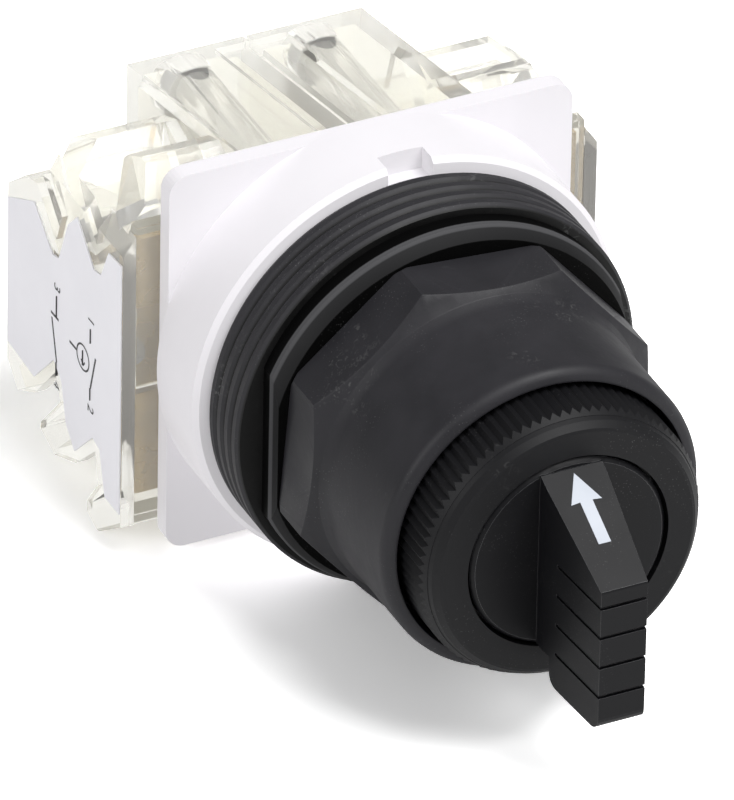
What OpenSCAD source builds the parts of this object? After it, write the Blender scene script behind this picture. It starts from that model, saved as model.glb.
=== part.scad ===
// Selector switch for a 30.5 mm panel hole, with two clear contact blocks behind it.
// The operator axis lies along Y. Its front faces -Y, +Z is up, and Y = 0 is the
// face of the base on which the panel seats. Lengths are in millimetres.

/* [Base] */
// Width and height of the square base plate
plate_side = 41.4; // [38:0.1:44]
// Thickness of the square base plate
plate_t = 1.9; // [1.6:0.1:2.6]
// Corner radius of the base plate
plate_corner_r = 2; // [1:0.5:4]
// Radius of the round boss in front of the plate
boss_r = 21.8; // [20.8:0.1:22.5]
// Length of the boss, from the panel seat to the plate
boss_len = 8.2; // [7.8:0.1:8.6]
// Thickness of the floor that guides the pushers
floor_t = 2; // [1.6:0.1:2.4]
// Radius of the cam chamber
chamber_r = 11.4; // [10.8:0.1:11.6]
// Width of the locating notch in the boss
notch_w = 4.6; // [3:0.1:6]
// Depth of the locating notch, measured inward from the boss rim
notch_d = 2.4; // [1.5:0.1:3]

/* [Bushing] */
// Outer radius of the threaded bushing
bushing_r = 15; // [14.8:0.05:15.1]
// Length of the threaded bushing in front of the panel seat
bushing_len = 22; // [20:0.5:24]
// Radius of the bushing's rear flange
flange_r = 17; // [16.5:0.1:18]
// Thickness of the bushing's rear flange
flange_t = 2.4; // [2:0.1:3]
// Radius of the bushing's front neck
neck_r = 12.6; // [12.2:0.1:12.8]
// Radius of the chamber for the detent spring in the bushing
detent_chamber_r = 12.8; // [12.4:0.1:13]
// Depth of the detent chamber in front of the panel seat
detent_chamber_d = 3.2; // [3:0.1:4]

/* [Gaskets and washer] */
// Thickness of one gasket
gasket_t = 1.6; // [1.2:0.1:1.8]
// Outer radius of the gaskets
gasket_r = 20.5; // [19.5:0.1:21]
// Depth of the groove between two gaskets
gasket_lip = 0.35; // [0.2:0.05:0.6]
// Outer radius of the thrust washer
washer_r = 19.5; // [19:0.1:20]
// Thickness of the thrust washer
washer_t = 3.3; // [2.5:0.1:3.6]
// Distance from the axis to the washer's two flats
washer_flat = 17.8; // [17:0.1:18.5]

/* [Ring nut] */
// Distance from the axis to the nut's corners
nut_corner_r = 18.6; // [18:0.1:19.2]
// Thickness of the octagonal part
nut_t = 6.3; // [5:0.1:7]
// Turn of the nut's corners from the horizontal, in degrees
nut_turn = 18; // [0:1:44]
// Depth of the conical chamfer on the nut's front corners
nut_chamfer = 1.5; // [0.5:0.1:2]
// Outer radius of the skirt
skirt_r = 16.15; // [16:0.05:16.8]
// Inner radius of the skirt's mouth
skirt_bore_r = 14.8; // [14.75:0.05:15]
// Length of the skirt in front of the bushing's end
skirt_overhang = 6.9; // [6:0.1:8]

/* [Retaining ring] */
// Outer radius of the retaining ring over its knurl
ring_r = 14.3; // [13.9:0.1:14.5]
// Radius of the round opening around the knob
ring_bore_r = 10.2; // [10:0.1:10.6]
// Distance that the ring stands out of the skirt's mouth
ring_proud = 5.3; // [4.5:0.1:5.8]
// Depth of the ring behind the skirt's mouth
ring_depth = 3; // [2:0.5:4]
// Thickness of the ring's front lip
ring_lip_t = 1.7; // [1.4:0.1:2]
// Number of knurl teeth
knurl_count = 88; // [60:4:100]
// Depth of the knurl
knurl_d = 0.32; // [0.2:0.02:0.4]

/* [Knob] */
// Running gap around the knob
knob_gap = 0.3; // [0.2:0.05:0.4]
// Width of the lever where it meets the disc
lever_base_w = 6.2; // [5.5:0.1:7]
// Width of the lever along its front face
lever_tip_w = 4.7; // [4:0.05:5]
// Height of the lever above the ring's front face
lever_h = 11.5; // [10:0.1:14]
// Height of the top of the sloping face above the axis
slope_top_z = 9.4; // [8.5:0.1:9.6]
// Height of the ridge above the axis
ridge_z = 3.2; // [2:0.1:5]
// Distance from the axis down to the end of the tail
tail_z = 12.2; // [12:0.1:15]
// Gap between the tail and the ring's front face
tail_gap = 2.6; // [1.5:0.1:3.5]
// Radius of the rounded corners at the end of the tail
tail_r = 1.3; // [0.8:0.1:1.6]
// Number of grip grooves
groove_count = 4; // [2:1:4]
// Spacing of the grip grooves
groove_pitch = 3.26; // [2.8:0.02:3.4]
// Width of a grip groove
groove_w = 0.36; // [0.2:0.02:0.5]
// Depth of a grip groove
groove_d = 0.35; // [0.2:0.05:0.5]

/* [Spindle and cam] */
// Radius of the spindle
spindle_r = 3.2; // [2.8:0.1:3.4]
// Radial running clearance of every shaft and pusher
run_fit = 0.05; // [0.03:0.01:0.08]
// Outer radius of the cam
cam_r = 9.2; // [8.8:0.1:9.4]
// Distance from the axis to each pusher
pusher_x = 6.6; // [6.5:0.1:6.8]
// Travel of a pusher for a 45 degree turn of the knob
pusher_travel = 1.4; // [1:0.1:1.5]
// Turn of the knob from its centre to either side, in degrees
knob_turn = 45; // [30:5:45]
// Radius of a pusher
pusher_r = 1.7; // [1.5:0.1:1.8]
// Thickness of the detent leaf spring
leaf_t = 0.4; // [0.3:0.05:0.5]

/* [Contact blocks] */
// Half of the width across both blocks
block_w = 24.4; // [24:0.1:25]
// Depth of a block behind the base plate
block_len = 25.8; // [25:0.1:26.5]
// Thickness of the blocks' clear walls
wall = 1.3; // [1.1:0.05:1.4]
// Half height of the mechanism box at its front
box_front_z = 19.6; // [19:0.1:20.5]
// Half height of the mechanism box at its rear
box_rear_z = 14.8; // [14.6:0.1:16]
// Distance from the axis to the outer wall of the mechanism box
box_x = 12.2; // [12.1:0.1:12.6]
// Distance that the wiring column sits below the operator axis
column_drop = 1.8; // [0:0.1:2]
// Width of a terminal pocket between its guards
pocket_w = 6.4; // [6.1:0.1:6.6]
// Thickness of the printed side label
label_t = 0.15; // [0.1:0.05:0.2]

/* [Contacts] */
// Thickness of the brass strips
strip_t = 0.8; // [0.6:0.1:0.9]
// Radius of a silver contact tip
tip_r = 1.2; // [1:0.1:1.2]
// Thickness of a silver contact tip
tip_t = 0.5; // [0.4:0.05:0.6]
// Height of the contact tips above and below the axis
tip_z = 6.6; // [6.4:0.1:6.8]
// Radius of the terminal screws' heads
screw_head_r = 2.5; // [2.2:0.1:2.6]
// Height of the terminal screws' heads
screw_head_h = 1.7; // [1.4:0.1:2]
// Radius of the terminal screws' threads
screw_r = 1.4; // [1.2:0.1:1.5]
// Radius of the block mounting screws
mount_screw_r = 1.5; // [1.4:0.05:1.6]
// Height of the block mounting screws above and below the axis
mount_screw_z = 11.2; // [11:0.1:11.4]
// Radius of the tapped hole in a mounting screw's head
stack_hole_r = 1.25; // [1.1:0.05:1.3]

/* [Hidden] */
$fn = 96;
eps = 0.01;
left = -1;
right = 1;
top = 1;
bottom = -1;

// Places along the axis, from the front of the knob to the back of the blocks
gasket_count = 4;
gasket_front_y = -gasket_count * gasket_t;
washer_front_y = gasket_front_y - washer_t;
nut_front_y = washer_front_y - nut_t;
skirt_front_y = -bushing_len - skirt_overhang;
ring_front_y = skirt_front_y - ring_proud;
ring_rear_y = skirt_front_y + ring_depth;
lip_rear_y = ring_front_y + ring_lip_t;
lever_front_y = ring_front_y - lever_h;
plate_rear_y = boss_len + plate_t;
floor_front_y = plate_rear_y - floor_t;
block_front_y = plate_rear_y + 0.1;
block_rear_y = block_front_y + block_len;
cover_t = 1.5;
housing_front_y = block_front_y + cover_t;
rear_wall_y = block_rear_y - wall;

// Knob
disc_r = ring_bore_r - knob_gap;
knob_flange_r = neck_r - 0.8;
knob_flange_t = 1.6;
knob_flange_y = lip_rear_y + 0.15;
neck_front_y = knob_flange_y + knob_flange_t + 0.15;
slope_low_y = ring_front_y - 0.2;
groove_first_z = ridge_z - 1.8;
groove_side_d = 0.25;
arrow_t = 0.4;

// Cam
cam_front_y = -detent_chamber_d + 0.3;
ramp_mid_y = 3;
ramp_span = 60;
ramp_rise = pusher_travel * ramp_span / knob_turn;
ramp_in_r = 4.2;
cam_gap = 0.15;
notch_r = 1.6;
leaf_gap = 0.12;
clip_t = 0.8;
cam_hub_rear_y = 5.6;

// Bushing's inside
hub_r = 7.6;
core_r = 11.2;
core_front_y = 3 - bushing_len;
seal_y = -14;
seal_wire_r = 0.9;

// Pushers
shoulder_r = 2.1;
shoulder_t = 0.8;
pusher_tip_y = ramp_mid_y + cam_gap;
shoulder_y = pusher_tip_y + 1.5;
pusher_rear_y = housing_front_y + pusher_travel + 0.3;

// Contact carrier, its windows and the bridges
carrier_w = 6.2;
carrier_h = 5.2;
bridge_w = 3.6;
bridge_z = tip_z + tip_r + 0.3;
front_strip_y = housing_front_y + 0.3;
front_tip_y = front_strip_y + strip_t + tip_t;
contact_gap = 0.1;
front_bridge_y = max(front_tip_y + pusher_travel + contact_gap + tip_t, pusher_rear_y + 1.6);
front_window_len = 3.8;
rear_window_y = front_bridge_y + front_window_len + 1.3;
rear_window_len = 3.6;
rear_bridge_y = rear_window_y + rear_window_len - strip_t;
rear_tip_y = rear_bridge_y + strip_t + tip_t + pusher_travel + contact_gap;
rear_strip_y = rear_tip_y + tip_t;
carrier_rear_y = rear_window_y + rear_window_len + 1.5;
spigot_r = 1.5;
spigot_len = 1.6;
window_w = bridge_w + 0.5;

// Wiring column: depths behind the block's front, and heights before the column drops below the axis
pad_t = strip_t;
front_pad = [5.2, 11.6];
rear_pad = [12.8, 6.4];
pad_len = pocket_w;
column_in_x = box_x;
column_wall_x = block_w - wall;
strip_out_x = column_wall_x - 0.2;
strip_in_x = column_in_x + 1.6;
pad_mid_x = (strip_out_x + strip_in_x) / 2;
clamp_t = 0.9;
clamp_w = min(pocket_w, strip_out_x - strip_in_x) - 0.6;
shank_len = 2;
front_reach = 0.5;
rear_reach = (rear_strip_y + strip_t - 0.1 - block_front_y - rear_pad[0]) * sqrt(2) - pad_len / 2;
front_leg_z = 14.2;
rear_leg_z = 1.9;
rear_leg_h = 2.2;
strip_band = [tip_z - 1.8, tip_z + 1.6];
riser_x = box_x - wall - 0.1 - strip_t;
riser_len = 3.2;
slot_fit = 0.1;
channel_x = 3.65;
channel_d = 0.8;
head_r = 2.4;
head_len = 2.3;
head_pocket_y = block_rear_y - 3;
post_r = mount_screw_r + 1;
screw_end_y = 4.4;

// Everything on the right is the left side mirrored
module side(s) {
    if (s == right) children();
    else mirror([1, 0, 0]) children();
}

module on_level(z) {
    if (z == top) children();
    else mirror([0, 0, 1]) children();
}

// A cylinder or ring along Y, from y0 to y1
module rod_y(r, y0, y1) {
    translate([0, y0, 0]) rotate([-90, 0, 0]) cylinder(r = r, h = y1 - y0);
}

// A profile drawn as [radius, y] turned round the axis
module turned(points) {
    rotate([-90, 0, 0]) rotate_extrude() polygon([for (p = points) [p[0], p[1]]]);
}

// A [y, z] outline extruded along X, from x0 to x1
module along_x(x0, x1, points) {
    translate([x0, 0, 0]) rotate([90, 0, 90]) linear_extrude(x1 - x0) polygon(points);
}

// An [x, z] outline extruded along Y, from y0 to y1
module along_y(y0, y1, points) {
    translate([0, y1, 0]) rotate([90, 0, 0]) linear_extrude(y1 - y0) polygon(points);
}

module box(x, y, z) {
    translate([x[0], y[0], z[0]]) cube([x[1] - x[0], y[1] - y[0], z[1] - z[0]]);
}

function arc(cx, cy, r, a0, a1, steps) =
    [for (i = [0:steps]) let (a = a0 + (a1 - a0) * i / steps) [cx + r * cos(a), cy + r * sin(a)]];

// Round wire coiled along Y, with its end turns closed up flat
function coil_lift(t, turns, closed) =
    t < closed ? 0 : t > turns - closed ? 1 : (t - closed) / (turns - 2 * closed);
function coil_points(r, w, y0, y1, turns, per_turn, sides) = [
    for (i = [0:turns * per_turn])
        let (t = i / per_turn)
        let (a = 360 * t)
        let (lift = coil_lift(t, turns, 0.75) * (y1 - y0 - 2 * w - 1.9 * w * 1.5))
        let (y = y0 + w + lift + 1.9 * w * min(t, 0.75) + 1.9 * w * max(0, t - turns + 0.75))
        for (j = [0:sides - 1])
            let (b = 360 * j / sides)
            [(r + w * cos(b)) * cos(a), y + w * sin(b), (r + w * cos(b)) * sin(a)]];
function ring_faces(rings, sides) = concat(
    [for (i = [0:rings - 2], j = [0:sides - 1])
        [i * sides + j, i * sides + (j + 1) % sides,
         (i + 1) * sides + (j + 1) % sides, (i + 1) * sides + j]],
    [[for (j = [0:sides - 1]) sides - 1 - j]],
    [[for (j = [0:sides - 1]) (rings - 1) * sides + j]]);
module coil(r, w, y0, y1, turns, per_turn = 16, sides = 6) {
    points = coil_points(r, w, y0, y1, turns, per_turn, sides);
    polyhedron(points, ring_faces(turns * per_turn + 1, sides), convexity = 10);
}

// Base: a square plate with a round boss, bored out for the flange and the cam
module operator_base() {
    color("whitesmoke") difference() {
        union() {
            along_y(boss_len, plate_rear_y, plate_outline());
            turned([[0, 0], [boss_r - 0.5, 0], [boss_r, 0.5], [boss_r, boss_len + eps], [0, boss_len + eps]]);
        }
        rod_y(flange_r, -eps, flange_t);
        rod_y(chamber_r, flange_t - eps, floor_front_y);
        for (s = [left, right]) side(s) {
            translate([pusher_x, 0, 0]) rod_y(pusher_r + run_fit, floor_front_y - eps, plate_rear_y + eps);
            for (z = [top, bottom])
                translate([pusher_x, 0, z * mount_screw_z]) rod_y(mount_screw_r, screw_end_y, plate_rear_y + eps);
        }
        box([-notch_w / 2, notch_w / 2], [-eps, notch_d], [boss_r - notch_d, boss_r + 1]);
    }
}

function plate_outline() =
    let (h = plate_side / 2, r = plate_corner_r, c = h - r)
    concat(arc(c, c, r, 0, 90, 8), arc(-c, c, r, 90, 180, 8),
           arc(-c, -c, r, 180, 270, 8), arc(c, -c, r, 270, 360, 8));

// Bushing: the round body that passes through the panel and carries everything in front
module threaded_bushing() {
    color("#1b1b1c") difference() {
        turned([
            [0, neck_front_y], [neck_r - 0.5, neck_front_y], [neck_r, neck_front_y + 0.5],
            [neck_r, -bushing_len], [bushing_r, -bushing_len], [bushing_r, 0],
            [flange_r, 0], [flange_r, flange_t], [0, flange_t]]);
        rod_y(spindle_r + run_fit, neck_front_y - eps, flange_t + eps);
        rod_y(detent_chamber_r, -detent_chamber_d, flange_t + eps);
        turned([
            [hub_r, -detent_chamber_d + eps], [hub_r, core_front_y],
            [core_r, core_front_y], [core_r, -detent_chamber_d + eps]]);
        turned([
            [0, seal_y - seal_wire_r], [spindle_r + 2 * seal_wire_r, seal_y - seal_wire_r],
            [spindle_r + 2 * seal_wire_r, seal_y + seal_wire_r], [0, seal_y + seal_wire_r]]);
    }
}

// Rubber gaskets, stacked in front of the boss, each with a raised lip at its rim
module gasket(number) {
    color("#141414") translate([0, -(number - 1) * gasket_t, 0]) turned([
        [bushing_r, 0], [gasket_r - gasket_lip, 0], [gasket_r, -0.35 * gasket_t],
        [gasket_r, -0.75 * gasket_t], [gasket_r - gasket_lip, -gasket_t], [bushing_r, -gasket_t]]);
}

module thrust_washer() {
    color("#202021") intersection() {
        turned([
            [bushing_r, gasket_front_y], [washer_r, gasket_front_y],
            [washer_r, washer_front_y + 1.5], [washer_r - 0.9, washer_front_y],
            [bushing_r, washer_front_y]]);
        box([-washer_flat, washer_flat], [washer_front_y - 1, 1], [-washer_r, washer_r]);
    }
}

// Octagonal nut with a conical front and a long skirt, moulded in one piece
module ring_nut() {
    edge_r = skirt_r - skirt_bore_r - 0.2;
    cone = (nut_corner_r - skirt_r) / 2;
    color("#232324") difference() {
        turned(concat([
            [bushing_r, washer_front_y], [nut_corner_r - 0.3, washer_front_y],
            [nut_corner_r, washer_front_y - 0.4], [nut_corner_r, nut_front_y + nut_chamfer],
            [skirt_r + 0.5, nut_front_y], [skirt_r, nut_front_y - cone]],
            arc(skirt_r - edge_r, skirt_front_y + edge_r, edge_r, 0, -90, 4),
            [[skirt_bore_r, skirt_front_y], [skirt_bore_r, -bushing_len], [bushing_r, -bushing_len]]));
        for (k = [0:7]) rotate([0, 45 * k + 22.5 - nut_turn, 0])
            box([nut_corner_r * cos(22.5), nut_corner_r + 2], [nut_front_y - 1, washer_front_y + 1],
                [-nut_corner_r, nut_corner_r]);
    }
}

function knurl_outline() = [for (k = [0:knurl_count - 1], e = [0, 1])
    let (a = 360 * (k + (e == 0 ? 0 : 0.5)) / knurl_count)
    (ring_r - (e == 0 ? 0 : knurl_d)) * [cos(a), sin(a)]];

// Retaining ring: knurled round its rim, smooth in front, open around the knob
module retaining_ring() {
    face_r = ring_r - 1.6;
    smooth_y = ring_front_y + 1.1;
    color("#171718") difference() {
        union() {
            intersection() {
                along_y(smooth_y, ring_rear_y, knurl_outline());
                turned([
                    [0, smooth_y - eps], [ring_r - 0.5, smooth_y - eps], [ring_r, smooth_y + 0.9],
                    [ring_r, ring_rear_y - 0.4], [ring_r - 0.4, ring_rear_y], [0, ring_rear_y]]);
            }
            turned([
                [0, smooth_y + eps], [ring_r - 0.55, smooth_y + eps], [ring_r - 0.75, smooth_y - 0.45],
                [face_r + 0.3, ring_front_y + 0.1], [face_r, ring_front_y], [0, ring_front_y]]);
        }
        rod_y(ring_bore_r, ring_front_y - eps, lip_rear_y + eps);
        rod_y(neck_r, lip_rear_y, ring_rear_y + eps);
    }
}

function lever_side() = concat(
    [[slope_low_y + 1, slope_top_z - 0.4], [slope_low_y, slope_top_z - 0.2]],
    arc(lever_front_y + 0.5, ridge_z - 0.25, 0.5, 150, 180, 3),
    arc(lever_front_y + tail_r, tail_r - tail_z, tail_r, 180, 270, 6),
    arc(ring_front_y - tail_gap - tail_r, tail_r - tail_z, tail_r, 270, 360, 6),
    [[ring_front_y - tail_gap, -disc_r + 0.6], [slope_low_y + 1, -disc_r + 0.6]]);

// Knob: a disc behind the ring's lip with a tapered lever in front
module knob() {
    root_w = lever_base_w / 2;
    front_w = lever_tip_w / 2;
    color("#101011") difference() {
        union() {
            turned([
                [0, ring_front_y - 0.05], [disc_r - 0.4, ring_front_y - 0.05], [disc_r, ring_front_y + 0.3],
                [disc_r, knob_flange_y], [knob_flange_r, knob_flange_y],
                [knob_flange_r, knob_flange_y + knob_flange_t], [0, knob_flange_y + knob_flange_t]]);
            intersection() {
                along_x(-lever_base_w, lever_base_w, lever_side());
                linear_extrude(4 * tail_z, center = true) polygon([
                    [-root_w, slope_low_y + 1], [-root_w, slope_low_y - 1], [-front_w, lever_front_y - eps],
                    [front_w, lever_front_y - eps], [root_w, slope_low_y - 1], [root_w, slope_low_y + 1]]);
            }
        }
        for (i = [0:groove_count - 1]) grip_groove(groove_first_z - i * groove_pitch);
        pointer_shape(arrow_t);
        rod_y(spindle_r, knob_flange_y - 0.6, knob_flange_y + knob_flange_t + eps);
    }
}

module grip_groove(z) {
    cut = [z - groove_w / 2, z + groove_w / 2];
    box([-lever_base_w, lever_base_w], [lever_front_y - 1, lever_front_y + groove_d], cut);
    back_y = ring_front_y - tail_gap - 1;
    for (s = [left, right]) side(s) translate([0, 0, cut[0]]) linear_extrude(groove_w) polygon([
        [lever_half(lever_front_y) - groove_side_d, lever_front_y - 1], [lever_base_w, lever_front_y - 1],
        [lever_base_w, back_y], [lever_half(back_y) - groove_side_d, back_y]]);
}

// Half width of the lever at a place along the axis
function lever_half(y) = lever_tip_w / 2
    + (lever_base_w - lever_tip_w) / 2 * (y - lever_front_y) / (slope_low_y - 1 - lever_front_y);

// Direction of the sloping face, from its top edge at the disc to the ridge
slope_dy = lever_front_y + 0.07 - slope_low_y;
slope_dz = ridge_z - (slope_top_z - 0.2);
slope_turn = atan2(slope_dy, -slope_dz);

function arrow_outline() =
    let (tip = 0.5, head = 3.6, end = 8, half = 1.55, stem = 0.62)
    [[0, -tip], [half, -head], [stem, -head + 0.1], [stem, -end],
     [-stem, -end], [-stem, -head + 0.1], [-half, -head]];

// The arrow, laid on the sloping face and let in by the depth d
module pointer_shape(d) {
    translate([0, slope_low_y, slope_top_z - 0.2]) rotate([slope_turn, 0, 0])
        translate([0, d, 0]) rotate([90, 0, 0]) linear_extrude(d + 0.05) polygon(arrow_outline());
}

module pointer_arrow() {
    color("white") pointer_shape(arrow_t);
}

module spindle() {
    color("#d8d6cc") difference() {
        rod_y(spindle_r, knob_flange_y - 0.6, cam_hub_rear_y + clip_t + 0.6);
        turned([
            [spindle_r - 0.6, cam_hub_rear_y], [spindle_r + 1, cam_hub_rear_y],
            [spindle_r + 1, cam_hub_rear_y + clip_t], [spindle_r - 0.6, cam_hub_rear_y + clip_t]]);
    }
}

module shaft_seal() {
    color("#2a2320") translate([0, seal_y, 0]) rotate([90, 0, 0]) rotate_extrude()
        translate([spindle_r + run_fit + seal_wire_r * 0.95, 0]) circle(seal_wire_r * 0.95, $fn = 24);
}

// Height of the cam's rear face at an angle from the right-hand pusher
function ramp_lift(a) = let (b = a > 180 ? a - 360 : a)
    let (c = b > 90 ? 180 - b : b < -90 ? -180 - b : b)
    max(-ramp_span, min(ramp_span, c)) / ramp_span * ramp_rise;
function ramp_points(steps) = [for (i = [0:steps - 1])
    let (a = 360 * i / steps)
    let (y = ramp_mid_y + ramp_lift(a))
    for (p = [[ramp_in_r - 0.4, cam_front_y + 0.6], [cam_r - 0.05, cam_front_y + 0.6],
        [cam_r - 0.05, y], [ramp_in_r - 0.4, y]])
        [p[0] * cos(a), p[1], p[0] * sin(a)]];
function ramp_faces(steps) = [for (i = [0:steps - 1], j = [0:3])
    let (a = i * 4 + j, b = ((i + 1) % steps) * 4 + j)
    let (c = ((i + 1) % steps) * 4 + (j + 1) % 4, d = i * 4 + (j + 1) % 4)
    each [[a, b, c], [a, c, d]]];

// Face cam: as it turns, its rear ramps push one side back and let the other forward
module cam() {
    color("#e8b64a") difference() {
        union() {
            polyhedron(ramp_points(72), ramp_faces(72), convexity = 6);
            rod_y(cam_r, cam_front_y, cam_front_y + 1.2);
            rod_y(ramp_in_r + eps, cam_front_y, cam_hub_rear_y);
        }
        rod_y(spindle_r, cam_front_y - eps, cam_hub_rear_y + eps);
        for (k = [0:7]) rotate([0, 45 * k, 0]) translate([0, 0, cam_r + 0.5])
            rod_y(notch_r, cam_front_y - eps, cam_front_y + 2.6);
    }
}

module cam_clip() {
    color("#9a9a98") difference() {
        rod_y(ramp_in_r, cam_hub_rear_y, cam_hub_rear_y + clip_t);
        rod_y(spindle_r - 0.6, cam_hub_rear_y - eps, cam_hub_rear_y + clip_t + eps);
        box([-1.6, 1.6], [cam_hub_rear_y - 1, cam_hub_rear_y + 2], [-spindle_r - 2, 0]);
    }
}

// Leaf spring whose hump drops into a notch of the cam at each station
module detent_spring() {
    hump = notch_r - leaf_gap;
    outer = detent_chamber_r - 0.05;
    mid_z = cam_r + 0.5;
    color("#b9bcc0")
        along_y(cam_front_y + 0.2, cam_front_y + 2.2, concat(
            arc(0, mid_z, hump, -160, -20, 10),
            arc(0, 0, outer - leaf_t, 60, 38, 5),
            arc(0, 0, outer, 38, 62, 5),
            arc(0, mid_z, hump - leaf_t, -20, -160, 10),
            arc(0, 0, outer, 118, 142, 5),
            arc(0, 0, outer - leaf_t, 142, 120, 5)));
}

module pusher(s) {
    color("#f2efe6") side(s) translate([pusher_x, 0, 0]) {
        translate([0, pusher_tip_y + pusher_r, 0]) sphere(pusher_r, $fn = 48);
        rod_y(pusher_r, pusher_tip_y + pusher_r, pusher_rear_y);
        rod_y(shoulder_r, shoulder_y, shoulder_y + shoulder_t);
    }
}

// Outlines of the guards above and below the wiring column, as [depth, height]
function front_guards() = [
    [0, 16.6], [4.8, 20.0], [5.5, 20.2], [7.7, 19.4], [7.6, 18.2], [5.2, 15.0], [5.9, 11.6]];
function upper_guards() = concat(front_guards(), [
    [10.2, 15.6], [14.6, 17.0], [17.6, 15.8], [17.4, 14.8], [13.6, 10.0], [14.8, 6.8],
    [block_len - 6.6, 10.4], [block_len - 4, 9.8], [block_len, 6.6]]);
function lower_guards() = concat(front_guards(), [
    [10.2, 15.6], [15.0, 17.6], [18.2, 16.6], [18.0, 15.6], [13.8, 10.9], [14.9, 8.2],
    [block_len - 6.2, 13.4], [block_len - 2.4, 15.4], [block_len, 13.2]]);

// The same outlines with the narrow slots filled, for the inner part of the column
function filled(guards) = concat([[cover_t, 16.6 + 3.4 * cover_t / 4.8]],
    [for (i = [1:len(guards) - 1])
        if (i != 4 && i != 5 && i != 6 && i != 10 && i != 11 && i != 12) guards[i]]);
function around(upper, lower) =
    concat(upper, [for (i = [len(lower) - 1:-1:0]) [lower[i][0], -lower[i][1]]]);
function column_hollow() = [
    [cover_t - eps, 14.9], [2.9, 14.9], [4.2, 12.6], [7.5, 9.3], [10.5, 8.7], [12.8, 6.4],
    [15.1, 4.4], [block_len - wall, 4.4]];
function box_outline(inset, y0, y1) =
    [[y0, box_z(y0) - inset], [y1, box_z(y1) - inset], [y1, inset - box_z(y1)], [y0, inset - box_z(y0)]];
function box_z(y) = box_front_z
    + (box_rear_z - box_front_z) * (y - block_front_y) / block_len;

// Cutting body for one terminal pocket, open outward and to the rear at 45 degrees
module terminal_pocket(pad) {
    translate([strip_in_x - 0.4, pad[0], pad[1]]) rotate([-45, 0, 0])
        translate([0, -pocket_w / 2, -pad_t - 0.02]) cube([column_wall_x - strip_in_x + 0.4, pocket_w, 14]);
}

// Slanted cut over the outer corner of a guard
module guard_bevel(y0, y1, z, drop) {
    along_y(y0, y1, [[block_w - 4.4, z], [block_w + 1, z - drop * 5.4 / 4.4], [block_w + 1, z + 6], [block_w - 4.4, z + 6]]);
}

module housing(s) {
    color("#e9e6d2", 0.5) side(s) difference() {
        union() {
            translate([0, block_front_y, -column_drop]) {
                along_x(column_in_x, column_wall_x, around(filled(upper_guards()), filled(lower_guards())));
                along_x(column_wall_x - eps, block_w, around(upper_guards(), lower_guards()));
            }
            along_x(label_t, box_x, box_outline(0, housing_front_y, block_rear_y));
        }
        translate([0, block_front_y, -column_drop]) {
            along_x(column_in_x, column_wall_x, around(column_hollow(), column_hollow()));
            for (z = [top, bottom]) on_level(z) {
                terminal_pocket(front_pad);
                terminal_pocket(rear_pad);
            }
            guard_bevel(8.6, 18.4, 17.0, 3.4);
            guard_bevel(-0.4, 8.2, 20.0, 6.4);
        }
        mechanism_room();
        top_channel();
        for (z = [top, bottom]) on_level(z) {
            strip_slot(front_strip_y, strip_band);
            strip_slot(rear_strip_y, rear_leg_band(z));
            translate([pusher_x, 0, mount_screw_z]) {
                rod_y(mount_screw_r + 0.1, housing_front_y - eps, block_rear_y + eps);
                rod_y(head_r + 0.3, head_pocket_y, block_rear_y + eps);
            }
        }
    }
}

// Slot through the wall of the mechanism box, for one brass strip
module strip_slot(y, band) {
    box([box_x - wall - 1, box_x + 1], [y - slot_fit, y + strip_t + slot_fit],
        [band[0] - slot_fit, band[1] + slot_fit]);
}

// A shallow channel between two low ribs, along the middle of the roof and the floor
module top_channel() {
    difference() {
        along_x(-1, channel_x, box_outline(-2, housing_front_y - eps, rear_wall_y));
        along_x(-2, channel_x + 1, box_outline(channel_d, housing_front_y - 1, rear_wall_y + 1));
    }
}

// The hollow of the mechanism box, around the posts for the mounting screws
module mechanism_room() {
    difference() {
        along_x(wall + label_t, box_x - wall, box_outline(wall + channel_d, housing_front_y - eps, rear_wall_y));
        for (z = [top, bottom]) translate([pusher_x, 0, z * mount_screw_z])
            rod_y(post_r, housing_front_y - 1, block_rear_y);
        translate([pusher_x, 0, 0]) rod_y(spigot_r, rear_wall_y - spigot_len, block_rear_y);
    }
}

// Front cover of a block, with holes for the pusher and the mounting screws
module cover(s) {
    color("#ece9d8", 0.5) side(s) difference() {
        union() {
            box([label_t, box_x], [block_front_y, housing_front_y], [-box_front_z + 0.2, box_front_z - 0.2]);
            box([box_x - eps, column_wall_x - 0.05], [block_front_y, housing_front_y],
                [-16.4 - column_drop, 16.4 - column_drop]);
        }
        translate([pusher_x, 0, 0]) rod_y(pusher_r + 0.4, block_front_y - eps, housing_front_y + eps);
        for (z = [top, bottom]) translate([pusher_x, 0, z * mount_screw_z])
            rod_y(mount_screw_r + 0.1, block_front_y - eps, housing_front_y + eps);
    }
}

// Outline of the side label above and below the middle of the column, as [depth, height]
function upper_label() = [
    [0.2, 12.6], [3.0, 12.4], [4.6, 9.0], [6.2, 8.6], [10.0, 12.2],
    [12.0, 10.2], [14.0, 5.2], [15.4, 4.8], [block_len - 6.2, 8.2], [block_len - 0.3, 5.2]];
function lower_label() = [
    [0.2, 15.2], [3.4, 15.2], [4.6, 10.6], [6.2, 10.2], [10.2, 14.2],
    [12.2, 12.2], [13.2, 8.2], [15.0, 6.8], [block_len - 6.4, 11.4], [block_len - 0.3, 11.0]];

module label(s) {
    color("#f3f1f4") side(s) translate([0, block_front_y, -column_drop])
        along_x(block_w, block_w + label_t, around(upper_label(), lower_label()));
}

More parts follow.
